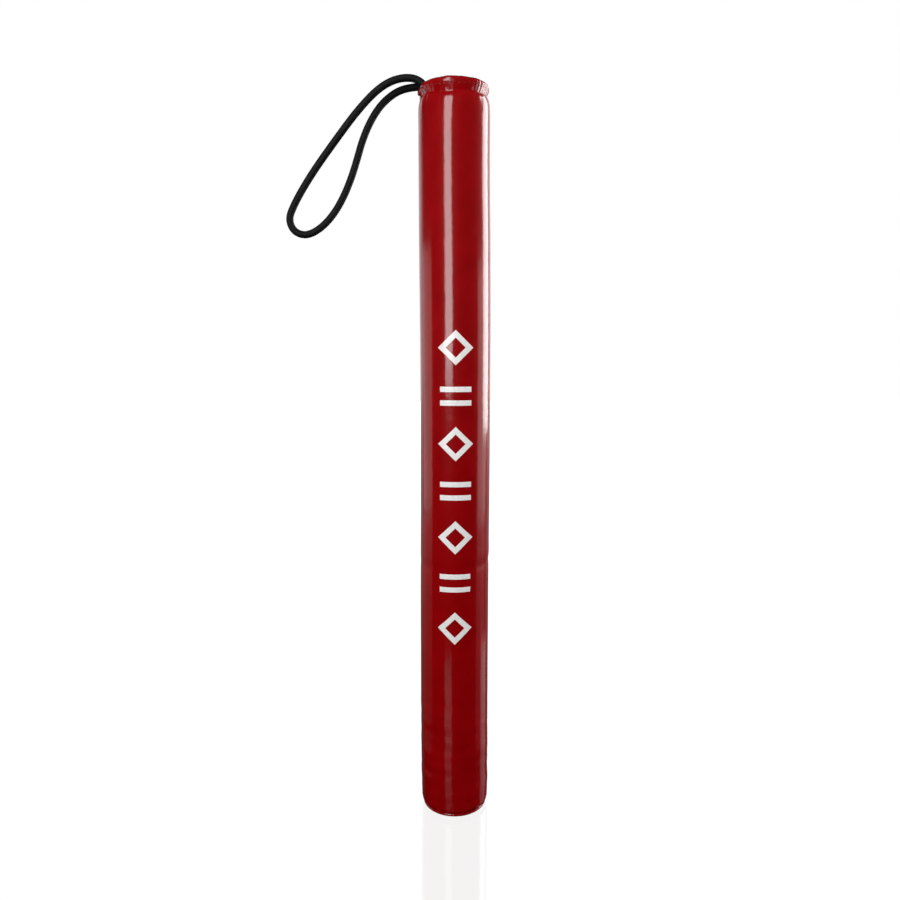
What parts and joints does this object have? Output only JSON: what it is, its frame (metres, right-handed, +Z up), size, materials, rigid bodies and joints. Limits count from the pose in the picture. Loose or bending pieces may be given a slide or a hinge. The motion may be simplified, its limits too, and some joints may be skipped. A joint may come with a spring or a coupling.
{
  "type": "focus training stick",
  "caption": "Padded coaching stick: rigid core in foam, glossy leather cover with a sewn seam lip and a round elastic wrist loop.",
  "frame": {"origin": "middle of the flat bottom end, on the surface that the stick stands on", "axes": "+Z up along the stick, printed front towards -Y, wrist loop towards -X, lengthways seam towards +Y"},
  "size_m": [0.167, 0.0582, 0.6208],
  "materials": {
    "red_leather": "glossy synthetic leather with fine grain",
    "white_print": "satin screen print",
    "cord": "tight round braid with a slight sheen",
    "thread": "bonded sewing thread",
    "core_plastic": "extruded",
    "plug_plastic": "moulded",
    "firm_foam": "closed cell foam, skinned",
    "soft_foam": "closed cell foam, cut",
    "webbing": "woven tape"
  },
  "bodies": {
    "stick": {"core_tube": "core_plastic", "core_plug_top": "plug_plastic", "core_plug_bottom": "plug_plastic", "side_seam_tape": "webbing", "foam_inner": "firm_foam", "foam_lower": "soft_foam", "foam_upper": "soft_foam", "end_pad_bottom": "soft_foam", "end_pad_top": "soft_foam", "cover_sleeve": "red_leather", "cover_cap_top": "red_leather", "cover_cap_bottom": "red_leather", "rim_stitches_top": "thread", "rim_stitches_bottom": "thread", "side_seam_stitches": "thread", "cord_root": "cord", "cord_anchor_patch": "red_leather", "cord_bar_tack": "thread", "printed_marks": "white_print"},
    "wrist_loop": {"wrist_cord": "cord"}
  },
  "joints": [
    {"name": "loop_swing", "type": "hinge", "parent": "stick", "child": "wrist_loop", "pos_m": [-0.037, 0, 0.616], "axis": [0, 1, 0], "range_deg": [-30, 90], "stiffness_Nm_per_rad": 0.1, "springref_deg": 1.15}
  ]
}
